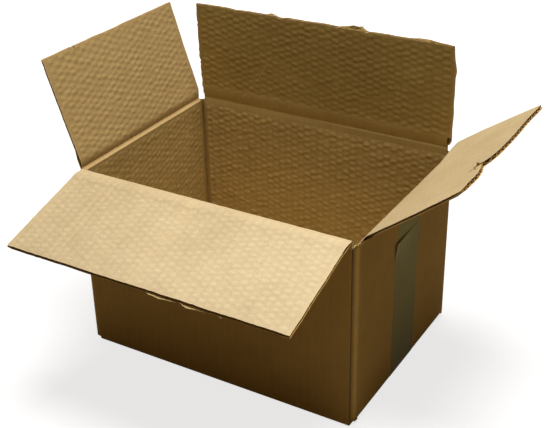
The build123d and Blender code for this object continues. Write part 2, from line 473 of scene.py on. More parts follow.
def baked(holder):
    # The plain mesh that an object's modifier makes, in place of the object
    ready = holder.evaluated_get(bpy.context.evaluated_depsgraph_get())
    result = bpy.data.meshes.new_from_object(ready)
    holder.modifiers.clear()
    bpy.data.objects.remove(holder)
    return result


def grown(mesh, made, values):
    # The plain mesh that a geometry tree makes of one
    tree, names = made
    holder = linked("holder", mesh)
    modifier = holder.modifiers.new("tree", "NODES")
    modifier.node_group = tree
    for label, value in values.items():
        modifier[names[label]] = value
    return baked(holder)


# Sheets as flat meshes, and what folds, frays and crushes them

def coordinates(mesh):
    points = np.empty(len(mesh.vertices) * 3)
    mesh.vertices.foreach_get("co", points)
    return points.reshape(-1, 3)


def keep(mesh, name, values, kind="FLOAT"):
    layer = mesh.attributes.get(name) or mesh.attributes.new(name, kind, "POINT")
    layer.data.foreach_set("value" if kind == "FLOAT" else "vector", values.astype(np.float32).ravel())


def cuts(low, high, step):
    return np.linspace(low, high, max(2, round((high - low) / step) + 1))


def picked(count, skip):
    return sorted({*range(0, count, skip), count - 1})


def slab(name, across, along, bottom, top, skip=(4, 4), fineTop=True):
    # A closed flat sheet: one face holds every cut, the other only some of them
    columns, rows = len(across), len(along)
    someColumns, someRows = picked(columns, skip[0]), picked(rows, skip[1])
    fine, plain = (top, bottom) if fineTop else (bottom, top)

    def grid(xs, ys, level):
        x, y = np.meshgrid(xs, ys, indexing="ij")
        return np.stack([x, y, np.full_like(x, level)], -1).reshape(-1, 3)

    points = np.vstack([grid(across, along, fine), grid(across[someColumns], along[someRows], plain)])

    def onFine(i, j):
        return i * rows + j

    def onPlain(i, j):
        return columns * rows + i * len(someRows) + j

    faces = []
    for i in range(columns - 1):
        for j in range(rows - 1):
            faces.append((onFine(i, j), onFine(i + 1, j), onFine(i + 1, j + 1), onFine(i, j + 1)))
    for i in range(len(someColumns) - 1):
        for j in range(len(someRows) - 1):
            faces.append((onPlain(i, j), onPlain(i, j + 1), onPlain(i + 1, j + 1), onPlain(i + 1, j)))
    for edge, plainEdge in ((0, 0), (rows - 1, len(someRows) - 1)):
        for k, (i, after) in enumerate(zip(someColumns, someColumns[1:])):
            rim = [onFine(n, edge) for n in range(i, after + 1)]
            rim += [onPlain(k + 1, plainEdge), onPlain(k, plainEdge)]
            faces.append(tuple(rim if edge else rim[::-1]))
    for edge, plainEdge in ((0, 0), (columns - 1, len(someColumns) - 1)):
        for k, (j, after) in enumerate(zip(someRows, someRows[1:])):
            rim = [onFine(edge, n) for n in range(j, after + 1)]
            rim += [onPlain(plainEdge, k + 1), onPlain(plainEdge, k)]
            faces.append(tuple(rim[::-1] if edge else rim))
    if not fineTop:
        faces = [face[::-1] for face in faces]
    mesh = bpy.data.meshes.new(name)
    mesh.from_pydata(points.tolist(), [], faces)
    return mesh


def eased(value):
    value = np.clip(value, 0, 1)
    return value * value * (3 - 2 * value)


def near(miss, reach):
    # 1 at an edge, easing to 0 at this reach from it
    return eased(1 - miss / reach)


def swell(miss, width):
    # 1 in the middle, falling away to both sides
    return np.exp(-((miss / width) ** 2))


def travelled(points):
    # How far along a line of points each of them lies
    return np.concatenate([[0], np.cumsum(np.linalg.norm(np.diff(points, axis=0), axis=1))])


def wander(seed, *parts):
    # A line that strays at random: each part is a spacing and how far it strays
    chance = np.random.default_rng(seed)
    reach = 1.2
    tables = []
    for spacing, size in parts:
        tables.append((spacing, size * chance.standard_normal(int(2 * reach / spacing) + 3)))

    def at(run):
        total = np.zeros_like(run)
        for spacing, values in tables:
            place = (run + reach) / spacing
            first = np.floor(place).astype(int)
            share = eased(place - first)
            total += values[first] * (1 - share) + values[first + 1] * share
        return total

    return at


class FoldLine:
    # A bent line in a plane with round corners; offsets from it go to its left (1) or right (-1)
    def __init__(self, corners, radius, hand, steps=10):
        corners = [np.array(c, float) for c in corners]
        self.hand = hand
        ways = [(b - a) / np.linalg.norm(b - a) for a, b in zip(corners, corners[1:])]
        angles = [math.atan2(way[1], way[0]) for way in ways]
        places, headings = [corners[0]], [angles[0]]
        for corner, way, angle, then in zip(corners[1:], ways, angles, angles[1:]):
            turn = (then - angle + math.pi) % math.tau - math.pi
            cut = radius * math.tan(abs(turn) / 2)
            centre = corner - way * cut + np.sign(turn) * radius * np.array((-way[1], way[0]))
            for step in range(steps + 1):
                heading = angle + turn * step / steps
                side = np.array((math.sin(heading), -math.cos(heading))) * np.sign(turn)
                places.append(centre + side * radius)
                headings.append(heading)
        places.append(corners[-1])
        headings.append(headings[-1])
        self.places = np.array(places)
        self.headings = np.unwrap(headings)
        self.runs = travelled(self.places)

    def length(self):
        return self.runs[-1]

    def at(self, run, offset):
        heading = np.interp(run, self.runs, self.headings)
        first = np.interp(run, self.runs, self.places[:, 0])
        second = np.interp(run, self.runs, self.places[:, 1])
        beyond = run - np.clip(run, 0, self.runs[-1])
        first += beyond * np.cos(heading) - self.hand * offset * np.sin(heading)
        second += beyond * np.sin(heading) + self.hand * offset * np.cos(heading)
        return first, second

    def runOf(self, point):
        best = None
        for start, end, run in zip(self.places, self.places[1:], self.runs):
            way = end - start
            share = np.clip(np.dot(np.array(point) - start, way) / max(way @ way, 1e-18), 0, 1)
            miss = np.linalg.norm(start + share * way - point)
            if best is None or miss < best[0] - 1e-9:
                best = (miss, run + share * np.linalg.norm(way))
        return best[1]


def gathered(name, meshes, materials):
    # Several meshes as one, each with the material that it carries
    whole = bmesh.new()
    for mesh in meshes:
        index = materials.index(next(m for m in mesh.materials if m))
        mesh.polygons.foreach_set("material_index", [index] * len(mesh.polygons))
        whole.from_mesh(mesh)
    result = bpy.data.meshes.new(name)
    whole.to_mesh(result)
    whole.free()
    for material in materials:
        result.materials.append(material)
    result.polygons.foreach_set("use_smooth", [True] * len(result.polygons))
    for mesh in meshes:
        bpy.data.meshes.remove(mesh)
    piece = linked(name, result)
    sharpen(result)
    return piece


def sharpen(mesh, angle=50):
    # Hard edges where paper is cut, so that smooth faces shade as they should
    whole = bmesh.new()
    whole.from_mesh(mesh)
    limit = math.radians(angle)
    for edge in whole.edges:
        if len(edge.link_faces) == 2 and edge.calc_face_angle(0) > limit:
            edge.smooth = False
    whole.to_mesh(mesh)
    whole.free()


embossing = {
    "Row pitch": 6.5 * mm,
    "Stagger": 0.5,
    "Bump length": 5.0 * mm,
    "Bump height": 0.38 * mm,
    "Least height": 0.45,  # of the bump height, and what chance adds to it at most
    "Height range": 0.75,
    "Jitter": 2.1 * mm,
    "Line height": 0.02 * mm,
}
fluting = {"Steps per flute": 14, "Unevenness": 0.22}


def embossed(mesh, press, pitch, first, seed, material):
    # Presses bumps into a flat mesh, as strongly as press says at each point
    keep(mesh, "press", press)
    values = {**embossing, "Column pitch": pitch, "First column": first, "Seed": seed, "Material": material}
    return grown(mesh, pressedBumps, values)


def facing(side, across, along, material, strength, pitch, seed, clear=(3.0, 3.0, 3.0)):
    # One flat facing of the board; the inner one has its bumps, clear of the sides, base and free edge
    thickness, paperThickness = board["thickness"], board["facing"]
    inner = side == "inner"
    low, high = (thickness - paperThickness, thickness) if inner else (0.0, paperThickness)
    mesh = slab(side, across, along, low, high, fineTop=inner)
    flat = coordinates(mesh)
    sides = np.minimum(flat[:, 0] - across[0], across[-1] - flat[:, 0]) / (clear[0] * mm)
    base = (flat[:, 1] - along[0]) / (clear[1] * mm)
    free = (along[-1] - flat[:, 1]) / (clear[2] * mm)
    press = eased(sides) * eased(base) * eased(free) * strength
    press = np.where(inner & (flat[:, 2] > low + paperThickness / 2), press, 0)
    return embossed(mesh, press, pitch, across[0], seed, material)


def medium(low, high, start, end, seed, flutes):
    room = board["thickness"] - 2 * board["facing"] - board["flutePaper"]
    mesh = grown(bpy.data.meshes.new("medium"), flutedMedium, {
        **fluting, "Width": high - low, "Depth": end - start, "Flutes": flutes,
        "Rows": max(3, round((end - start) / (5 * mm))), "Swing": room / 2, "Paper": board["flutePaper"],
        "Seed": seed, "Material": flutePaper,
    })
    flat = coordinates(mesh)
    flat[:, 0] = np.clip(flat[:, 0] + (low + high) / 2, low, high)
    flat[:, 1] += (start + end) / 2
    flat[:, 2] += board["facing"] + room / 2
    mesh.vertices.foreach_set("co", flat.ravel())
    return mesh


def shaped(mesh, place, sheetStart=(0, 0, 0), wearAndHighlightOf=None):
    # Notes where each point lies on the flat sheet, then puts it where it belongs
    flat = coordinates(mesh)
    keep(mesh, "sheet", flat + np.array(sheetStart), "FLOAT_VECTOR")
    keep(mesh, "wear", np.zeros(len(flat)) if wearAndHighlightOf is None else wearAndHighlightOf(*flat.T))
    mesh.vertices.foreach_set("co", place(*flat.T.copy()).ravel())


def closedMesh(name, points, faces):
    # A mesh with its faces turned outwards
    mesh = bpy.data.meshes.new(name)
    mesh.from_pydata(np.array(points).tolist(), [], faces)
    whole = bmesh.new()
    whole.from_mesh(mesh)
    bmesh.ops.recalc_face_normals(whole, faces=whole.faces)
    whole.to_mesh(mesh)
    whole.free()
    return mesh


def cutOut(mesh, outline, low, high):
    # Takes a flat outline's prism out of a flat mesh
    count = len(outline)
    points = [(x * mm, y * mm, level) for level in (low, high) for x, y in outline]
    faces = [tuple(range(count))[::-1], tuple(range(count, 2 * count))]
    faces += [(i, (i + 1) % count, count + (i + 1) % count, count + i) for i in range(count)]
    cutter = linked("cutter", closedMesh("cutter", points, faces))
    holder = linked("holder", mesh)
    hole = holder.modifiers.new("hole", "BOOLEAN")
    hole.operation, hole.solver, hole.object = "DIFFERENCE", "EXACT", cutter
    result = baked(holder)
    bpy.data.objects.remove(cutter)
    return result


def throughPoints(points, count):
    # A smooth line through a few points
    points = np.array(points, float)
    padded = np.vstack([2 * points[0] - points[1], points, 2 * points[-1] - points[-2]])
    line = []
    for share in np.linspace(0, len(points) - 1, count):
        k = min(int(share), len(points) - 2)
        t = share - k
        a, b, c, d = padded[k:k + 4]
        point = 2 * b + (c - a) * t + (2 * a - 5 * b + 4 * c - d) * t**2
        line.append(0.5 * (point + (3 * b - a - 3 * c + d) * t**3))
    return np.array(line)


shred = {"thickness": 0.3, "rows": 9, "ragged": 0.3}


def tongue(points, widths, material, seed):
    # A torn strip of paper that follows a line, with ragged sides; sizes in mm on the flat sheet
    chance = np.random.default_rng(seed)
    rows = shred["rows"]
    line = throughPoints(points, rows)
    wide = np.interp(np.linspace(0, 1, rows), np.linspace(0, 1, len(widths)), widths)
    ahead = np.gradient(line, axis=0)
    ahead /= np.linalg.norm(ahead, axis=1)[:, None]
    beside = np.cross(ahead, (0, 0, 1.0))
    beside /= np.maximum(np.linalg.norm(beside, axis=1)[:, None], 1e-6)
    over = np.cross(beside, ahead)
    corners = []
    for k in range(rows):
        for side, level in ((-1, -1), (1, -1), (1, 1), (-1, 1)):
            reach = side * wide[k] / 2 * (1 + shred["ragged"] * chance.standard_normal() * (level > 0))
            corners.append(line[k] + beside[k] * reach + over[k] * level * shred["thickness"] / 2)
    faces = [(0, 1, 2, 3), tuple(4 * (rows - 1) + n for n in (3, 2, 1, 0))]
    for k in range(rows - 1):
        for n in range(4):
            after = (n + 1) % 4
            faces.append((4 * k + n, 4 * k + 4 + n, 4 * k + 4 + after, 4 * k + after))
    mesh = closedMesh("tongue", np.array(corners) * mm, faces)
    mesh.materials.append(material)
    return mesh


# The top flaps

def creaseOf(jointName, node):
    joint = next(j for j in frame["joints"] if j["name"] == jointName)
    angle = math.radians(180 - joint["range_deg"][1])
    up = np.array((0, 0, 1.0))
    across = np.array(joint["axis"], float)
    outward = np.cross(up, across)
    away = math.cos(angle) * outward + math.sin(angle) * up
    inner = -math.sin(angle) * outward + math.cos(angle) * up
    origin = np.array(joint["pos_m"])
    axes = np.stack([across, away, inner])
    corners = np.array([v.co for v in frame["nodes"][node].data.vertices]) - origin
    local = corners @ axes.T
    low, high = local.min(0), local.max(0)
    return {
        "body": joint["child"], "node": node, "origin": origin, "angle": angle, "axes": axes,
        "across": across, "outward": outward,
        "ends": (low[0], high[0]), "depth": high[1], "outer": low[2], "inner": high[2],
    }


creases = {side: creaseOf(side + "_crease", side + "_flap") for side in ("front", "back", "left", "right")}

# What the four flaps share. Each reach says how far in from an edge a change of shape goes.
flapForm = {
    "frayReach": 7 * mm, "lineReach": 30 * mm, "freeLineReach": 24 * mm, "curlReach": 50 * mm,
    "squeezeWidth": 2.2 * mm,
    "riseOver": 12 * mm,  # the frayed edges start at the crease and are whole here
    "clearOver": 6 * mm,
    "miscut": 0.8 * mm,  # the facings are not cut quite alike
    "sink": 0.5 * mm,  # room for the bumps when a long flap lies on the short ones
    "coarseStep": 2.2 * mm,
    # edge wear is partly rubbed paper and partly painted highlight on the cut edges; ridge wear is painted
    # highlight along the pressed ridges
    "edgeWearAndHighlight": 0.7, "edgeWearAndHighlightReach": 1.6 * mm, "ridgeHighlight": 1.2, "ridgeHighlightWidth": 1.3 * mm,
}

# Places along a crease are in mm from its middle, in the way that its axis points, and places away from it
# in mm from the hinge. A nick is place, width and depth; it is negative where the edge swells.
plainFlap = {
    "step": 1.1 * mm, "darkening": 0.0, "lowProud": 0.0, "outerEdge": 0.0, "lowLine": [], "highLine": [],
    "edgeLine": [], "curl": [], "ridges": [], "lowNicks": [], "highNicks": [], "edgeNicks": [],
}
flaps = {
    "front": {
        **plainFlap, "press": 1.15, "seed": 11, "bow": -0.8 * mm, "darkening": 2.4, "outerEdge": 0.6,
        "fray": 0.16 * mm, "lowFray": 0.14 * mm, "highFray": 0.10 * mm, "lowProud": 0.5 * mm,
        "lowSqueeze": 0.25, "highSqueeze": 0.5,
        "highLine": [(0, -0.5), (20, 0.4), (55, 1.6), (106, 3.4)],
        "ridges": [
            (98.8, 0.3, 1.2), (91.8, 0.22, 1.1), (12.8, 0.5, 1.2), (6.8, 0.4, 1.1), (134.4, 0.3, 1.2),
            (129.0, 0.25, 1.1), (52.0, 0.3, 1.2),
        ],
        "lowNicks": [(31, 1.5, 0.5), (72, 2.0, 0.4)], "edgeNicks": [(30, 6, 0.4)],
        "tongues": [
            (
                [(-6, 105.2, 0.5), (-12, 106.5, 0.1), (-22, 106.8, -0.2), (-36, 106.3, -0.3)],
                (1.2, 2.0, 1.7, 0.3),
            ),
            ([(-9, 105.2, 0.3), (-17, 106.7, -0.5), (-27, 106.8, -0.8)], (1.8, 1.3, 0.3)),
            (
                [(-40, 105.4, 0.3), (-46, 106.9, -0.3), (-53, 106.7, -0.5), (-64, 106.2, -0.5)],
                (1.0, 1.9, 1.4, 0.3),
            ),
            ([(-76, 105.2, 0.2), (-80, 107.0, -0.6)], (1.5, 0.5)),
        ],
    },
    "back": {
        **plainFlap, "press": 0.95, "seed": 23, "bow": -0.6 * mm, "darkening": 1.2,
        "fray": 0.26 * mm, "lowFray": 0.34 * mm, "highFray": 0.22 * mm,
        "lowSqueeze": 0.35, "highSqueeze": 0.45,
        "lowLine": [(0, 0.3), (5, 1.6), (14, 1.7), (39, 2.7), (74, 3.3), (101, 3.4)],
        "highLine": [(0, 0.3), (6, 3.7), (40, 4.3), (78, 4.2), (90, 2.9), (103, 1.6)],
        "ridges": [(21.2, 0.13, 0.8)],
        "lowNicks": [(82, 1.3, 1.5), (40.5, 1.4, 1.2), (36.5, 1.2, 1.4), (8, 2.0, 0.8)],
        "highNicks": [(79, 5.5, -0.9), (68, 1.4, 0.6)],
        "edgeNicks": [(-43, 4.5, 1.3), (52, 2.0, 0.5), (-95, 1.5, 0.5)],
        "tongues": [
            (
                [(20, 100.2, 0.3), (29, 101.8, -0.2), (38, 102.6, -0.4), (47, 102.2, -0.3), (53, 101.0, 0)],
                (2.0, 3.4, 4.6, 4.2, 1.0),
            ),
            ([(30, 100.0, 0.2), (35, 103.2, -0.8), (38, 105.0, -0.5)], (4.0, 3.0, 0.8)),
            ([(42, 100.2, 0.2), (44, 103.4, -1.0), (47, 104.9, -0.8)], (4.0, 3.0, 0.7)),
            ([(36, 100.4, 0.4), (40, 103.0, 0.1), (42, 104.8, 0.4)], (3.0, 2.4, 0.6)),
            (
                [(94, 100.6, 0.3), (104, 102.0, -0.2), (114, 102.2, -0.3), (128, 101.4, 0.0)],
                (1.6, 2.4, 2.2, 0.5),
            ),
            ([(-60, 101.0, 0.3), (-54, 102.6, -0.3), (-48, 102.4, -0.1)], (1.2, 1.2, 0.3)),
        ],
    },
    "left": {
        **plainFlap, "press": 1.15, "seed": 37, "bow": 0.6 * mm,
        "fray": 0.12 * mm, "lowFray": 0.16 * mm, "highFray": 0.12 * mm,
        "lowSqueeze": 0.55, "highSqueeze": 0.5,
        "lowLine": [(0, 0), (8, 0), (20, 0.5), (60, 1.2), (105, 1.8)],
        "highLine": [(0, 0), (7, 0), (11, 1.8), (60, 0.8), (105, 0.9)],
        "edgeLine": [(-100, 2.2), (0, 1.4), (100, 1.2)],
        "lowNicks": [(101, 2.0, 0.6)], "edgeNicks": [(10, 5, 0.3)],
        "tongues": [
            ([(-57.6, 104.6, 3.6), (-58.2, 103.0, 4.0), (-58.4, 101.4, 4.2)], (1.2, 0.9, 0.3)),
        ],
    },
    "right": {
        **plainFlap, "press": 0.22, "seed": 53, "bow": 3.2 * mm,
        "fray": 0.24 * mm, "lowFray": 0.16 * mm, "highFray": 0.30 * mm,
        "lowSqueeze": 0.3, "highSqueeze": 0.5,
        "lowLine": [(0, 0), (7, 0), (11, 1.3), (20, 1.4), (80, 1.3), (105, 0.5)],
        "edgeLine": [
            (-98, -1.0), (-75, -2.0), (-57, -1.4), (-22, 1.0), (5, 0.3), (18, -1.5), (23.5, -4.0),
            (27, -9.2), (31, -9.0), (36, -7.0), (48, -2.4), (60, 0.1), (77, -0.8), (98, 0.0),
        ],
        "curl": [(0, 0), (4, 0.1), (7, 2.4), (12, 4.0), (40, 3.8), (75, 1.8), (105, -0.4)],
        "highNicks": [(20, 6, 0.5), (44, 5, 0.4), (70, 7, 0.6)],
        "edgeNicks": [(78, 4.0, 0.7), (52, 3.0, 0.5)],
        "tongues": [
            ([(35, 93, 3.3), (38.5, 90.5, 4.6), (41.5, 89.5, 5.0)], (2.6, 2.0, 0.4)),
            ([(28, 92, 3.3), (24, 88, 4.8), (19.5, 85.6, 5.0)], (2.4, 1.7, 0.4)),
            ([(27, 96.5, 3.3), (27.5, 99.6, 4.6), (27, 102.0, 4.8)], (2.2, 1.7, 0.4)),
            ([(35, 97, 3.3), (39.5, 98.5, 4.4), (42.5, 99.0, 4.2)], (2.0, 1.5, 0.4)),
        ],
    },
}

creaseBase = board["creaseGap"] + board["creaseThickness"]
creaseReach = 10.0 * mm
backLiner = {
    "wallEnd": 7.1 * mm, "flapEnd": 11.0 * mm, "valley": 0.85 * mm, "lip": (0.12 * mm, 0.7 * mm),
    "give": 6 * mm, "jitter": ((12 * mm, 0.07 * mm), (3 * mm, 0.06 * mm)),
    "drops": (7.1, 6.0, 5.0, 4.0, 3.0, 2.0, 1.3, 0.8),  # its lines on the wall and on the flap, in mm
    "rises": (0.5, 1.0, 1.8, 2.8, 4.0, 5.5, 7.0, 9.0, 11.0),
}

tear = {
    "flap": "right",
    "outline": [
        (41, 89), (36, 90.2), (32, 91.2), (25, 88), (14.5, 83.5), (21.5, 89), (27, 93.2), (26.5, 97),
        (26, 108), (33, 108), (32.5, 99), (36, 98.5), (42, 100), (38, 96.4), (35.5, 94), (37, 92),
    ],
}
notch = {"flap": "left", "outline": [(-57.5, 107.5), (-56.75, 101.5), (-54.5, 107.5)]}
crushedCorner = {"flap": "right", "alongEdge": 15 * mm, "alongSide": 10 * mm, "height": 2.4 * mm}


def nicked(run, nicks):
    return sum((depth * mm * swell(run - spot * mm, width * mm) for spot, width, depth in nicks), 0 * run)


def followed(run, line):
    # How far out a given line lies, both in mm; no line is no shift
    if not line:
        return 0 * run
    places, shifts = np.array(line, float).T * mm
    return np.interp(run, places, shifts)


def flapPlace(side):
    crease, look = creases[side], flaps[side]
    lowSide, highSide = crease["ends"]
    depth, outer, flat = crease["depth"], crease["outer"], board["thickness"]
    share = board["creaseThickness"] / flat
    strays = [wander(look["seed"] + k, (14 * mm, look[fray]), (3.5 * mm, look[fray] * 0.6))
              for k, fray in ((1, "lowFray"), (2, "highFray"), (3, "fray"))]

    def place(x, y, z):
        level = z / flat
        stray = (level - 0.5) * flapForm["miscut"]
        fromLow, fromHigh, fromFree = x - lowSide, highSide - x, depth - y
        lowEdge = strays[0](y + stray) + nicked(y, look["lowNicks"]) - look["lowProud"] * near(level, 0.3)
        highEdge = strays[1](y + stray) - nicked(y, look["highNicks"])
        reach = flapForm["frayReach"]
        frays = near(fromLow, reach) * lowEdge + near(fromHigh, reach) * highEdge
        farLow = near(fromLow, flapForm["lineReach"]) * followed(y, look["lowLine"])
        farHigh = near(fromHigh, flapForm["lineReach"]) * followed(y, look["highLine"])
        farFree = near(fromFree, flapForm["freeLineReach"]) * followed(x, look["edgeLine"])
        curl = near(fromLow, flapForm["curlReach"]) * followed(y, look["curl"])
        squeeze = look["lowSqueeze"] * swell(fromLow, flapForm["squeezeWidth"])
        squeeze = squeeze + look["highSqueeze"] * swell(fromHigh, flapForm["squeezeWidth"])
        x = x + eased(y / flapForm["riseOver"]) * frays + farHigh - farLow
        freeEdge = strays[2](x + stray) - nicked(x, look["edgeNicks"])
        y = y + near(fromFree, reach) * freeEdge + farFree
        if side == "back":
            valley = backLiner["valley"] * (1 - np.clip(y / backLiner["flapEnd"], 0, 1)) ** 2
            thick = np.minimum(1, y / (4 * mm))
            z = np.where(level > 0.85, z - valley, z * np.maximum(share, thick))
        else:
            eases = np.clip((y - creaseBase) / (creaseReach - creaseBase), 0, 1)
            z = z * (share + (1 - share) * (1 - (1 - eases) ** 2))
        if side == crushedCorner["flap"]:
            away = (highSide - x) / crushedCorner["alongEdge"] + (depth - y) / crushedCorner["alongSide"]
            push = crushedCorner["height"] * np.clip(1 - away, 0, 1)
            z = push + z * (1 - push / flat)
        clear = eased((y - creaseReach) / flapForm["clearOver"])
        squeeze = squeeze * clear
        z = z + (flat - z) * squeeze + curl
        inside = np.clip((level - 0.85) / 0.1, 0, 1)
        risen = eased((y - 6 * mm) / flapForm["clearOver"])
        for spot, height, width in look["ridges"]:
            z = z + inside * height * mm * swell(x - spot * mm, width * mm) * risen
        if side in ("front", "back"):
            z = z - flapForm["sink"] * np.clip(level / 0.88, 0, 1) * clear
        z = outer + z + look["bow"] * (y / depth) ** 2
        local = np.stack([x, y, z], -1)
        return crease["origin"] + local @ crease["axes"]

    return place


scratches = {
    "front": [],
    "back": [
        ((-90.8, 8), (-80, 20), 0.9, 0.4), ((-80, 20), (-68, 36), 0.7, 0.3),
        ((-68, 36), (-60, 50), 0.8, 0.4), ((-60, 50), (-54, 60), 0.7, 0.3),
        ((-84, 22), (-66, 44), 0.5, 0.25),
    ],
    "left": [
        ((-74, 74), (-82, 71.5), 0.8, 0.6), ((-82, 71.5), (-90, 67), 0.8, 0.6),
        ((-90, 67), (-96, 61), 0.7, 0.6),
    ],
    "right": [],
}


def sheetStartOf(side):
    # Each flap reads its own stretch of the paper's noise
    return np.array((flaps[side]["seed"] * 0.37, flaps[side]["seed"] * 0.11, 0))


def flapPaper(side):
    # each flap's colour holds that flap's painted light and shade
    start = sheetStartOf(side)
    marks = []
    for first, last, width, depth in scratches[side]:
        ends = [(start[0] + x * mm, start[1] + y * mm) for x, y in (first, last)]
        marks.append((*ends, width * mm, depth))
    # each flap's paper darkens steadily across the sheet, at the slope given for that flap
    darkening = (start[0], flaps[side]["darkening"])
    return kraft(side + "_flap_kraft_painted_light", paper[side + "FlapPaintedLightColour"], scratches=marks, darkening=darkening)


innerPapers = {side: flapPaper(side) for side in creases}


def addFlap(side):
    crease, look = creases[side], flaps[side]
    (low, high), depth = crease["ends"], crease["depth"]
    flutes = round((high - low) / board["flutePitch"])
    pitch = (high - low) / flutes
    place = flapPlace(side)
    back = side == "back"
    innerBase, mediumBase = (backLiner["flapEnd"], 4.0 * mm) if back else (creaseBase, 8.8 * mm)
    innerEnd = depth - look["outerEdge"] * mm
    fine = cuts(low, high, look["step"]), cuts(innerBase, innerEnd, look["step"])
    coarse = cuts(low, high, flapForm["coarseStep"]), cuts(creaseBase, depth, flapForm["coarseStep"])

    def wearAndHighlightOf(x, y, z):
        # lighter cut edges, part wear and part painted highlight, and a painted highlight along the pressed
        # ridges
        edge = np.minimum(np.minimum(x - low, high - x), depth - y)
        rubbedAndLit = flapForm["edgeWearAndHighlight"] * near(edge, flapForm["edgeWearAndHighlightReach"])
        width = flapForm["ridgeHighlightWidth"]
        pressed = sum((height * swell(x - spot * mm, width) for spot, height, _ in look["ridges"]), 0 * x)
        return rubbedAndLit + np.where(z > 0.8 * board["thickness"], flapForm["ridgeHighlight"] * pressed, 0)

    clear = (4.0, 3.0 if back else 9.0, 4.0)
    layers = [
        facing("inner", *fine, innerPapers[side], look["press"], pitch, look["seed"], clear),
        facing("outer", *coarse, outerPaper, 0, pitch, look["seed"]),
        medium(low, high, mediumBase, innerEnd - 0.3 * mm, look["seed"], flutes),
    ]
    if side == notch["flap"]:
        layers = [cutOut(mesh, notch["outline"], -1 * mm, 5 * mm) for mesh in layers]
    if side == tear["flap"]:
        floor = board["thickness"] - board["facing"] - 0.35 * mm
        layers[0] = cutOut(layers[0], tear["outline"], floor, 5 * mm)
    torn = innerPapers[side] if side == "right" else tornPaper
    for number, (points, widths) in enumerate(look["tongues"]):
        layers.append(tongue(points, widths, torn, look["seed"] + number))
    for mesh in layers:
        shaped(mesh, place, sheetStartOf(side), wearAndHighlightOf)
    piece = gathered(side + "_flap_board", layers, [innerPapers[side], outerPaper, flutePaper, tornPaper])
    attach(piece, crease["body"])
    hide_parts(crease["node"])
    print(side, "flap", len(piece.data.polygons), "faces")


for side in creases:
    addFlap(side)


# The creases, folded to the angle at which each flap stands

blankTop = creases["left"]["origin"][2] - 3.2 * mm  # where the walls' plain part ends

creaseForm = {
    "step": 1.5 * mm,
    "wear": 0.3,
    "give": 1.0 * mm,  # handed to bendWith with each crease
    "arc": 12,  # degrees to each step round the fold
    "sharpFrom": 60,  # degrees
    "lip": [(0.25, 2.6), (0.9, 2.2)],  # where the inner liner turns over, in mm in from its face and down
    "backLipDrop": 4.3 * mm,
    "backRise": 4.0 * mm,
    "wobble": ((9 * mm, 0.06 * mm), (3 * mm, 0.035 * mm)),
    # the left crease's rounded bead of folded liner, in mm into the board and down, catches the light
    "bead": [(3.8, 1.3), (3.85, 0.85), (3.6, 0.3), (3.1, -0.05), (2.5, -0.15)],
}


def sweptRing(name, side, ringAt, sheetDrop, inside):
    # A closed outline, given along the crease, drawn from one end of the crease to the other
    crease = creases[side]
    runs = cuts(*crease["ends"], creaseForm["step"])
    points, sheet = [], []
    for run in runs:
        ring = ringAt(run)
        middle = crease["origin"] + crease["across"] * run
        for (across, up), gone in zip(ring, travelled(ring)):
            points.append(middle + crease["outward"] * across + np.array((0, 0, up)))
            sheet.append((run, gone - sheetDrop, 0))
    count = len(ring)
    faces = [tuple(range(count))[::-1], tuple(range(len(points) - count, len(points)))]
    for i in range(len(runs) - 1):
        for j in range(count):
            k = (j + 1) % count
            faces.append((i * count + j, (i + 1) * count + j, (i + 1) * count + k, i * count + k))
    mesh = closedMesh(name, points, faces)
    keep(mesh, "sheet", np.array(sheet) + sheetStartOf(side), "FLOAT_VECTOR")
    keep(mesh, "wear", np.full(len(points), creaseForm["wear"]))
    for material in (innerPapers[side], outerPaper):
        mesh.materials.append(material)
    for k, face in enumerate(mesh.polygons):
        ring = sorted({v % count for v in face.vertices})
        face.material_index = 0 if k < 2 or ring[-1] <= inside else 1
        face.use_smooth = k >= 2
    piece = linked(name, mesh)
    sharpen(mesh, creaseForm["sharpFrom"])
    return piece


def bendWith(piece, side, give):
    # Bakes the piece's place into its mesh; the way worked out from give is not used, so the piece does not
    # bend
    crease = creases[side]
    way = crease["outward"] * math.cos(crease["angle"]) + np.array((0, 0, math.sin(crease["angle"]) + 1.0))
    way = way / np.linalg.norm(way) * give
    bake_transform(piece)


def onWall(depth, drop):
    # A point of a crease's outline: this deep in the board, this far below the hinge
    return (-depth, -drop)


def onFlap(angle, depth, rise):
    # The same on the flap, this far from the hinge
    cosine, sine = math.cos(angle), math.sin(angle)
    return (rise * cosine - depth * sine, rise * sine + depth * cosine)


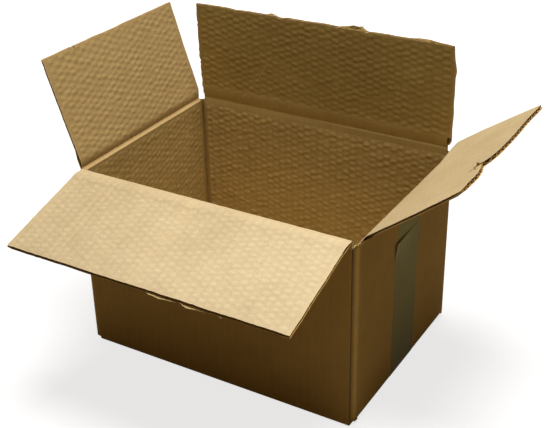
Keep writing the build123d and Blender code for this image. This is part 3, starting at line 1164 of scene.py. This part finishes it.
def addCrease(side):
    crease = creases[side]
    angle = crease["angle"]
    outer, inner = crease["outer"], crease["inner"]
    thin = outer + board["creaseThickness"]
    start = crease["origin"][2] - blankTop
    wobble = wander(flaps[side]["seed"] + 9, *creaseForm["wobble"])
    if side == "back":
        low = inner - board["facing"] - 0.1 * mm
        lip = [(low, start - 0.01 * mm), (low, creaseForm["backLipDrop"])]
    elif side == "left":
        lip = [(depth * mm, drop * mm) for depth, drop in creaseForm["bead"]]
    else:
        lip = [(inner, 3.1 * mm)] + [(inner - sunk * mm, drop * mm) for sunk, drop in creaseForm["lip"]]
        lip += [(thin + 0.5 * mm, 1.8 * mm), (thin + 0.15 * mm, 1.3 * mm)]
    inwards = [onWall(inner, start)] + [onWall(*p) for p in lip if p[1] < start]
    opening = math.pi / 2 - angle
    bends = max(1, round(opening / math.radians(creaseForm["arc"])))
    if side != "left":
        inwards.append(onWall(thin, creaseBase * 0.75))
        if opening > 0:
            for step in range(bends + 1):
                way = math.pi - opening * step / bends
                inwards.append((thin * math.cos(way), thin * math.sin(way)))
    inwards += [onFlap(angle, thin, creaseBase * 0.75), onFlap(angle, thin, creaseBase)]
    if side == "back":
        for depth in (inner - board["facing"] - 0.3 * mm, outer + 0.4 * mm):
            inwards.append(onFlap(angle, depth, creaseForm["backRise"]))
    fold = (angle - math.pi / 2) / 2
    outwards = [
        onFlap(angle, outer, creaseBase), onFlap(angle, outer, creaseBase * 0.5),
        (0.1 * mm * math.cos(fold), 0.1 * mm * math.sin(fold)),
        onWall(outer, creaseBase * 0.5), onWall(outer, start),
    ]
    ring = np.array(inwards + outwards)
    sizes = np.hypot(ring[:, 0], ring[:, 1])
    loose = (sizes > thin * 0.9) & (sizes < inner * 0.98) & (np.arange(len(ring)) < len(inwards) - 1)

    def ringAt(run):
        shift = wobble(run + np.arange(len(ring)) * 0.7 * mm) / np.maximum(sizes, 1e-6)
        return ring * (1 + np.where(loose, shift, 0))[:, None]

    piece = sweptRing(side + "_crease_fold", side, ringAt, start, len(inwards) - 1)
    bendWith(piece, side, creaseForm["give"])


def addBackLiner():
    # The inner facing at the back crease, which lies nearly flat while the flap stands upright
    crease = creases["back"]
    angle, inner = crease["angle"], crease["inner"]
    drops, rises = (np.array(backLiner[lines]) * mm for lines in ("drops", "rises"))
    low, high = crease["ends"]
    jitter = wander(61, *backLiner["jitter"])
    valley = backLiner["valley"] * (1 - rises / backLiner["flapEnd"]) ** 2

    def ringAt(run):
        share = (run - low) / (high - low)
        lip = np.interp(share, (0, 0.45, 0.6, 1), (*[backLiner["lip"][0]] * 2, *[backLiner["lip"][1]] * 2))
        lip = min(valley[0] - 0.05 * mm, max(0.05 * mm, lip + jitter(np.array([run]))[0]))
        lean = (valley[0] - lip) * (1 - (drops - drops[-1]) / (drops[0] - drops[-1])) ** 1.6
        wall = [onWall(inner - sunk, drop) for sunk, drop in zip(lean, drops)]
        flap = [onFlap(angle, inner - sunk, rise) for sunk, rise in zip(valley, rises)]
        seen = np.array(wall + flap)
        behind = (seen + np.array((board["facing"], 0)))[::-1]
        return np.vstack([seen, behind])

    piece = sweptRing("back_crease_liner", "back", ringAt, backLiner["wallEnd"], len(drops) + len(rises) - 1)
    bendWith(piece, "back", backLiner["give"])


for side in creases:
    addCrease(side)
addBackLiner()
print("creases folded")


# The walls, folded from one blank, and the bottom flaps

bodyLow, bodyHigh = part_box("box_body")
halfLength, halfWidth, underside = bodyHigh.x, bodyHigh.y, bodyLow.z
cornerRadius = 4.0 * mm
seamX = halfLength - cornerRadius
slotX, slotY, seamSlotY = (creases[side]["ends"][1] for side in ("back", "left", "right"))
wallTop = creases["left"]["origin"][2] - board["creaseGap"]
minorUnderside = underside + board["thickness"] + 0.3 * mm
blankFoot = 8.0 * mm

walls = {
    "step": 1.5 * mm, "cornerStep": 0.5 * mm, "cornerReach": 4 * mm, "press": 1.45, "seed": 71,
    "tabLength": 30 * mm, "tabTaper": 8 * mm,
    "ridges": (9.0, 15.0), "ridgeHeight": 0.8 * mm, "ridgeWidth": 0.9 * mm, "ridgeHighlight": 0.35,
    "grooveFrom": 2.9 * mm, "grooveDepth": 2.4 * mm, "grooveWidth": 0.8 * mm,
    # the outer corners are lighter, part rubbed paper and part painted highlight where the rounded fold
    # catches light; ridge wear is painted highlight on the inner ridges
    "cornerWearAndHighlight": 0.85, "cornerWearAndHighlightWidth": 2.8 * mm,
}

tabY = -halfWidth + board["thickness"]
wallLine = FoldLine(
    [
        (seamX, -halfWidth), (-halfLength, -halfWidth), (-halfLength, halfWidth), (halfLength, halfWidth),
        (halfLength, tabY), (seamX - walls["tabLength"], tabY),
    ],
    cornerRadius,
    -1,
)
seamEdge = board["flutePitch"]
tabStart = wallLine.runOf((seamX, tabY))
corners = [(-halfLength, -halfWidth), (-halfLength, halfWidth), (halfLength, halfWidth), (halfLength, tabY)]
cornerRuns = np.array([wallLine.runOf(corner) for corner in corners])


def wallPlace(x, y, z):
    first, second = wallLine.at(x, z)
    return np.stack([first, second, y], -1)


def wallCuts():
    # Close together round the corners, wider between them
    places = [seamEdge]
    for middle in cornerRuns:
        places += [middle - walls["cornerReach"], middle + walls["cornerReach"]]
    places.append(wallLine.length())
    steps = [walls["cornerStep" if k % 2 else "step"] for k in range(len(places))]
    return np.unique(np.concatenate([cuts(a, b, s) for a, b, s in zip(places, places[1:], steps)]).round(7))


def cornerMiss(x):
    return np.min([np.abs(x - run) for run in cornerRuns], axis=0)


def addWalls():
    half = board["thickness"] / 2
    across, along = wallCuts(), cuts(blankFoot, blankTop, walls["step"])
    mesh = slab("walls", across, along, 0.0, board["thickness"], skip=(1, 12))
    flat = coordinates(mesh)
    below = (blankTop - flat[:, 1]) / mm
    onBack = (flat[:, 0] > cornerRuns[1]) & (flat[:, 0] < cornerRuns[2])
    top = np.where(onBack, eased((below - 0.5) / 2.5), eased(below / 2))
    press = eased((cornerMiss(flat[:, 0]) - walls["cornerReach"]) / (4 * mm)) * top * walls["press"]
    press = press * np.where(onBack, 1.0, 0.75)
    press = np.where(flat[:, 2] > half, press, 0)
    mesh = embossed(mesh, press, board["flutePitch"], 0.0, walls["seed"], insidePaper)
    flat = coordinates(mesh)
    onTab = np.clip((flat[:, 0] - tabStart) / walls["tabLength"], 0, 1)
    top = np.minimum(blankTop, wallTop - onTab * walls["tabTaper"])
    foot = np.maximum(blankFoot, minorUnderside + onTab * walls["tabTaper"])
    share = (flat[:, 1] - blankFoot) / (blankTop - blankFoot)
    flat[:, 1] = foot + share * (top - foot)
    mesh.vertices.foreach_set("co", flat.ravel())
    ridges = [cornerRuns[1] + spot * mm for spot in walls["ridges"]]
    outside = flat[:, 2] < half

    def ridgesAt(x):
        return sum(swell(x - ridge, walls["ridgeWidth"]) for ridge in ridges)

    def place(x, y, z):
        beyond = np.maximum(0, cornerMiss(x) - walls["grooveFrom"])
        groove = swell(beyond, walls["grooveWidth"]) * walls["grooveDepth"]
        return wallPlace(x, y, z + np.where(z > half, ridgesAt(x) * walls["ridgeHeight"] - groove, 0))

    def wearAndHighlightOf(x, y, z):
        # lighter outer corners, part wear and part painted highlight, and a painted highlight along the
        # inner ridges
        rubbedAndLit = walls["cornerWearAndHighlight"] * swell(cornerMiss(x), walls["cornerWearAndHighlightWidth"])
        return np.where(z < half, rubbedAndLit, 0.0) + np.where(z > half, ridgesAt(x) * walls["ridgeHighlight"], 0.0)

    shaped(mesh, place, (0, 0, 0), wearAndHighlightOf)
    piece = gathered("wall_wrap", [mesh], [insidePaper, outerPaper])
    for face in piece.data.polygons:
        face.material_index = 1 if outside[list(face.vertices)].all() else 0
    rideBox(piece)
    print("walls", len(piece.data.polygons), "faces")


def rideBox(piece, node="box_body"):
    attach(piece, "box")
    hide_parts(node)


boardPapers = [insidePaper, outerPaper, flutePaper]


def boardLayers(low, high, start, end, place, seed, step, flutes, press=0.0):
    across, along = cuts(low, high, step), cuts(start, end, step)
    pitch = (high - low) / flutes
    layers = [
        facing("inner", across, along, insidePaper, press, pitch, seed),
        facing("outer", across, along, outerPaper, 0, pitch, seed),
        medium(low, high, start, end, seed, flutes),
    ]
    for mesh in layers:
        shaped(mesh, place)
    return layers


def addPosts():
    # Short lengths of wall at the corners, between the slots, with their cut edges open
    layers = []
    spans = [
        ((-slotX, -halfWidth), (-halfLength, -slotY)),
        ((-halfLength, slotY), (-slotX, halfWidth)),
        ((slotX, halfWidth), (halfLength, slotY)),
        ((halfLength, -seamSlotY), (seamX, tabY)),
    ]
    for number, (first, last) in enumerate(spans):
        low, high = wallLine.runOf(first), wallLine.runOf(last)
        ragged = wander(150 + number, (2.2 * mm, 0.35 * mm))

        def place(x, y, z):
            # the top of a slot is torn a little
            torn = eased((y - blankTop) / (wallTop - blankTop))
            return wallPlace(x, y + torn * (ragged(x + z) - 0.3 * mm), z)

        for start, end, way in ((blankTop, wallTop, place), (minorUnderside, blankFoot, wallPlace)):
            layers += boardLayers(low, high, start, end, way, 80 + number, 0.8 * mm, 2)
    rideBox(gathered("corner_posts", layers, boardPapers))


def addSeamEdge():
    layers = boardLayers(0.0, seamEdge, blankFoot, blankTop, wallPlace, 91, 1.5 * mm, 1)
    rideBox(gathered("seam_edge", layers, boardPapers))


slotShreds = [
    # torn bits at the slots: points in mm in the box's own frame, then widths
    ([(-140.5, -101.5, 184.8), (-139.0, -103.0, 186.4), (-137.0, -104.2, 187.2)], (1.4, 1.1, 0.4)),
    ([(-142.5, -99.5, 185.2), (-143.2, -98.6, 186.8), (-142.6, -97.0, 187.6)], (1.2, 0.9, 0.3)),
    ([(141.8, -101.8, 184.4), (143.0, -100.6, 186.2), (144.6, -100.0, 186.9)], (1.6, 1.3, 0.4)),
    ([(143.6, -97.6, 185.0), (144.4, -96.4, 186.6), (144.2, -94.8, 187.3)], (1.2, 1.0, 0.4)),
    ([(140.4, -103.2, 184.2), (141.6, -104.4, 185.6), (143.2, -104.8, 186.0)], (1.3, 1.0, 0.3)),
    ([(-141.5, 100.2, 185.2), (-139.6, 100.4, 186.8), (-138.2, 101.0, 187.2)], (1.3, 1.0, 0.4)),
    ([(-143.0, 98.4, 185.0), (-141.8, 97.6, 186.4), (-140.2, 97.4, 186.8)], (1.1, 0.9, 0.3)),
    ([(142.0, 100.4, 185.0), (140.4, 101.6, 186.4), (139.0, 102.4, 186.6)], (1.2, 0.9, 0.3)),
]


def addShreds():
    layers = []
    for number, (points, widths) in enumerate(slotShreds):
        layers.append(tongue(points, widths, tornPaper, 200 + number))
        shaped(layers[-1], lambda x, y, z: np.stack([x, y, z], -1))
    rideBox(gathered("slot_shreds", layers, [tornPaper]))


longLeaf = {"reach": halfWidth, "level": underside, "stop": 0.6 * mm}
shortLeaf = {"reach": halfLength, "level": minorUnderside, "stop": 41 * mm}
leaves = {
    "front": {**longLeaf, "turn": 0, "ends": (-slotX, seamX), "seed": 101},
    "back": {**longLeaf, "turn": 180, "ends": (-slotX, slotX), "seed": 103},
    "left": {**shortLeaf, "turn": -90, "ends": (-slotY, slotY), "seed": 107},
    "right": {**shortLeaf, "turn": 90, "ends": (-seamSlotY, slotY), "seed": 109},
}
leafForm = {"step": 2.0 * mm, "press": 0.8, "bend": 2.5 * mm, "crush": 0.42, "crushWidth": 3 * mm}


def addLeaf(side):
    # A bottom flap with its fold, from a little way up its wall
    look = leaves[side]
    reach, level = look["reach"], look["level"]
    line = FoldLine([(0, blankFoot), (0, level), (reach - look["stop"], level)], leafForm["bend"], 1)
    turn = math.radians(look["turn"])
    across = np.array((math.cos(turn), math.sin(turn), 0))
    inward = np.array((-math.sin(turn), math.cos(turn), 0))
    fold = line.runOf((0, level))

    def place(x, y, z):
        left = 1 - leafForm["crush"] * swell(y - fold, leafForm["crushWidth"])
        run, rise = line.at(y, z * left)
        return np.outer(x, across) + np.outer(run - reach, inward) + np.outer(rise, (0, 0, 1))

    low, high = look["ends"]
    flutes = round((high - low) / board["flutePitch"])
    step, press = leafForm["step"], leafForm["press"]
    layers = boardLayers(low, high, 0.0, line.length(), place, look["seed"], step, flutes, press)
    rideBox(gathered("bottom_" + side + "_flap", layers, boardPapers))


addWalls()
addPosts()
addSeamEdge()
addShreds()
for side in leaves:
    addLeaf(side)
print("box folded")


# Tape: one strip under the box and up its ends, and what is left of the strip that closed the top

tapeLow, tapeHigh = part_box("bottom_tape")
tailLow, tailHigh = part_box("top_tape_tail")
tape = {
    "film": 0.05 * mm, "step": 1.6 * mm, "lift": 1.7 * mm, "liftLength": 26 * mm, "leftLeg": 60 * mm,
    "bend": 0.6 * mm, "wrinkle": 0.05 * mm,
    # the tape's colour rises with height, from the darker one at the floor to the paler one above, which is
    # painted sheen
    "lowColour": (0.160, 0.112, 0.010),  # at the floor
    "highSheenColour": (0.385, 0.300, 0.078),  # at this height and above
    "highAt": 170 * mm,
    "shades": (0.82, 1.20), "stripes": 7.3 * mm, "roughness": 0.5, "gloss": 0.015,
    "bumpStrength": 0.7, "bumpDepth": 0.12 * mm,
}


def tapeFilm():
    material = bpy.data.materials.new("tape_film")
    start = emptied(material)
    sheet = sheetValue(start, "sheet", "Vector")
    x, y, z = unpack(sheet)
    cloud = sheetNoise(sheet, 40, (1, 0.35, 1), 3.0)
    streak = sheetNoise(sheet, 420, (1, 0.08, 1), 2.0)
    tone = cloud + (streak - 0.5) * 1.3
    # darker towards the floor, paler towards the top as painted sheen
    rise = unpack(start.make("ShaderNodeTexCoord", None, None, "Object"))[2] / tape["highAt"]
    ends = [[tuple(c * f for c in tape[end]) for end in ("lowColour", "highSheenColour")] for f in tape["shades"]]
    dark, pale = (tinted(rise.clamped(), *colours) for colours in ends)
    base = tinted(tone.clamped(), dark, pale)
    height = cloud * 0.9 + streak * 0.5 + y.waved(tape["stripes"]) * 0.05
    finishShader(start, base, tape["roughness"] + (streak - 0.5) * 0.3, height, tape)
    return material


tapePaint = tapeFilm()


def stripOfTape(name, node, corners, low, high, seed, lift=0.0):
    # Film on the outside of a line in the XZ plane; its top end's front corner may have come away
    middle, width = (low + high) / 2, high - low
    line = FoldLine(corners, tape["bend"], -1, steps=4)
    across, along = cuts(-width / 2, width / 2, tape["step"]), cuts(0, line.length(), tape["step"])
    mesh = slab(name, across, along, 0.0, tape["film"], skip=(1, 1))
    mesh.materials.append(tapePaint)
    sides = wander(seed, (22 * mm, 0.25 * mm), (5 * mm, 0.06 * mm))
    waves = wander(seed + 1, (6 * mm, tape["wrinkle"]), (2.5 * mm, tape["wrinkle"] * 0.5))
    end = line.length()

    def place(x, y, z):
        side = np.clip(np.abs(x) / (width / 2), 0, 1) ** 6
        free = eased((y - (end - tape["liftLength"])) / tape["liftLength"]) ** 2
        front = np.clip(-x / width + 0.5, 0, 1) ** 1.5
        stray = x + side * sides(y) * np.sign(x)
        wrinkle = np.abs(waves(x + 0.35 * y)) * (0.3 + free)
        first, second = line.at(y, z + wrinkle + lift * free * front)
        return np.stack([first, middle + stray, second], -1)

    shaped(mesh, place, (seed * 0.2, 0, 0))
    rideBox(gathered(name, [mesh], [tapePaint]), node)


tapeCorners = [
    (-halfLength, tape["leftLeg"]), (-halfLength, 5.3 * mm), (-slotX, underside - 0.03 * mm),
    (seamX, underside - 0.03 * mm), (halfLength, 5.65 * mm), (halfLength + 0.02 * mm, tapeHigh.z),
]
stripOfTape("bottom_tape_film", "bottom_tape", tapeCorners, tapeLow.y, tapeHigh.y, 301, tape["lift"])
tailCorners = [(halfLength, tailLow.z), (halfLength, (tailLow.z + tailHigh.z) / 2), (halfLength, tailHigh.z)]
stripOfTape("top_tape_film", "top_tape_tail", tailCorners, tailLow.y, tailHigh.y, 311)
print("tape laid")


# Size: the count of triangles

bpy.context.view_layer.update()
meshes = [piece.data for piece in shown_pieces() if piece.type == "MESH"]
print("triangles", sum(len(face.vertices) - 2 for mesh in meshes for face in mesh.polygons))
